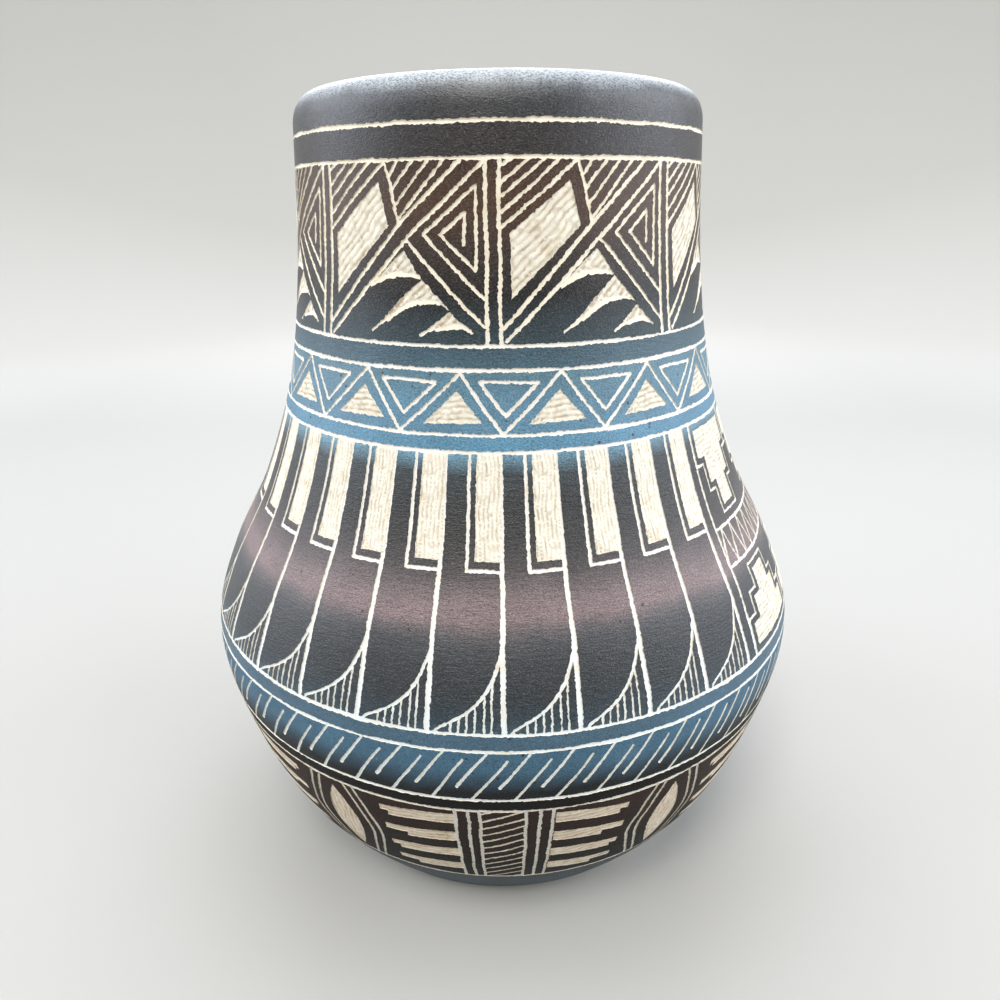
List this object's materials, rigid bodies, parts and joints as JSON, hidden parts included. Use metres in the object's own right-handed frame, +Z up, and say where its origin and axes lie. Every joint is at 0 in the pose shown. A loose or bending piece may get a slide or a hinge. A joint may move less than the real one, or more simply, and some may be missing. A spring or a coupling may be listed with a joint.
{
  "type": "etched pottery vase",
  "caption": "Round-bellied pottery vase with a wide neck and rolled lip, dressed in bands of scored dark and blue slip over cream clay.",
  "frame": {"origin": "centre of the foot, on the plane that the vase stands on", "axes": "+Z up through the mouth along the axis of turning, -Y towards the front of the picture"},
  "size_m": [0.1914, 0.1914, 0.2316],
  "materials": {
    "fired_clay": "bare fired cream clay, matt, scraped and scored with a fine tooth",
    "charcoal_slip": "charcoal black slip on the lip, rubbed to a soft satin",
    "umber_slip": "dark brown slip shading to blue-black lower down, satin-matt",
    "slate_slip": "grey-blue sprayed slip, matt",
    "blue_slip": "blue sprayed slip with dark specks, matt",
    "night_slip": "blue-black sprayed slip with a mauve-brown cloud, satin-matt",
    "black_slip": "black slip, satin-matt",
    "earth_slip": "dark earth-brown slip, satin-matt"
  },
  "bodies": {
    "root": {"clay_body": "fired_clay", "rim_slip": "charcoal_slip", "collar_slip": "umber_slip", "slate_band_slip": "slate_slip", "blue_band_slip": "blue_slip", "shoulder_band_slip": "blue_slip", "dash_band_slip": "blue_slip", "black_band_slip": "black_slip", "base_slip": "slate_slip", "neck_panel_slip_1": "umber_slip", "neck_stile_slip_1": "umber_slip", "neck_panel_slip_2": "umber_slip", "neck_stile_slip_2": "umber_slip", "neck_panel_slip_3": "umber_slip", "neck_stile_slip_3": "umber_slip", "neck_panel_slip_4": "umber_slip", "neck_stile_slip_4": "umber_slip", "neck_panel_slip_5": "umber_slip", "neck_stile_slip_5": "umber_slip", "neck_panel_slip_6": "umber_slip", "neck_stile_slip_6": "umber_slip", "neck_panel_slip_7": "umber_slip", "neck_stile_slip_7": "umber_slip", "neck_panel_slip_8": "umber_slip", "neck_stile_slip_8": "umber_slip", "triangle_band_slip": "blue_slip", "feather_slip_1": "night_slip", "feather_slip_2": "night_slip", "feather_slip_3": "night_slip", "feather_slip_4": "night_slip", "feather_slip_5": "night_slip", "feather_slip_6": "night_slip", "feather_slip_7": "night_slip", "feather_slip_8": "night_slip", "feather_slip_9": "night_slip", "feather_slip_10": "night_slip", "feather_slip_11": "night_slip", "feather_slip_12": "night_slip", "feather_slip_13": "night_slip", "feather_slip_14": "night_slip", "feather_slip_15": "night_slip", "feather_slip_16": "night_slip", "feather_slip_17": "night_slip", "feather_slip_18": "night_slip", "feather_slip_19": "night_slip", "feather_slip_20": "night_slip", "feather_slip_21": "night_slip", "feather_slip_22": "night_slip", "feather_slip_23": "night_slip", "feather_slip_24": "night_slip", "feather_slip_25": "night_slip", "feather_slip_26": "night_slip", "step_panel_slip": "night_slip", "lower_panel_slip_1": "earth_slip", "lower_panel_slip_2": "earth_slip", "lower_panel_slip_3": "earth_slip", "lower_panel_slip_4": "earth_slip", "lower_panel_slip_5": "earth_slip", "lower_panel_slip_6": "earth_slip"}
  },
  "joints": []
}
